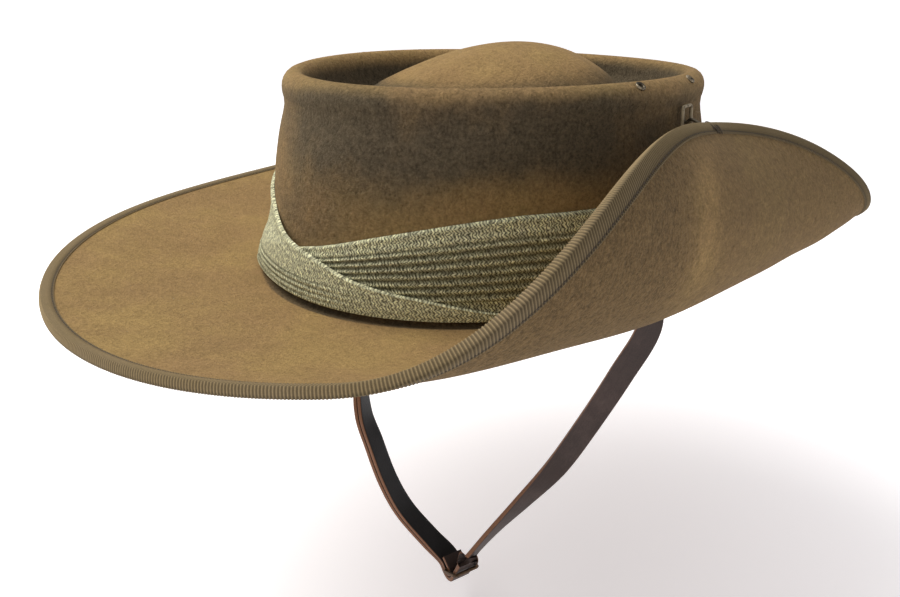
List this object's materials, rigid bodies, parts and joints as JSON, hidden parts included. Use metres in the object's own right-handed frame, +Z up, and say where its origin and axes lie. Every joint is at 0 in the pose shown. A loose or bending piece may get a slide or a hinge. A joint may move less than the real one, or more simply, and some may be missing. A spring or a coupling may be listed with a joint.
{
  "type": "slouch hat",
  "caption": "Felt slouch hat with a rolled-ridge crown, one side of the brim turned up and hooked, a pleated cloth band and a buckled leather chin strap.",
  "frame": {"origin": "centre of the head opening, on the middle of the brim's felt, where the hat sits on a head", "axes": "+Z up through the crown, -Y to the hat's front, +X to the wearer's left, the turned-up side"},
  "size_m": [0.2932, 0.3744, 0.2553],
  "materials": {
    "felt": "brushed fur felt, matt, warm khaki brown",
    "ribbon": "ribbed ribbon, olive brown",
    "band_cloth": "coarse woven cloth, pale olive",
    "vent_metal": "dull plated wire and eyelets",
    "leather": "dark brown strap leather, worn satin",
    "buckle_metal": "browned brass, dull"
  },
  "bodies": {
    "root": {"felt_body": "felt", "brim_binding": "ribbon", "band_under_wrap": "band_cloth", "band_over_wrap": "band_cloth", "vent_left_front": "vent_metal", "vent_left_back": "vent_metal", "vent_right_back": "vent_metal", "vent_right_front": "vent_metal", "crown_loop": "vent_metal", "crown_loop_tab": "band_cloth", "brim_hook": "vent_metal", "chin_strap": "leather", "buckle_frame": "buckle_metal"}
  },
  "joints": []
}
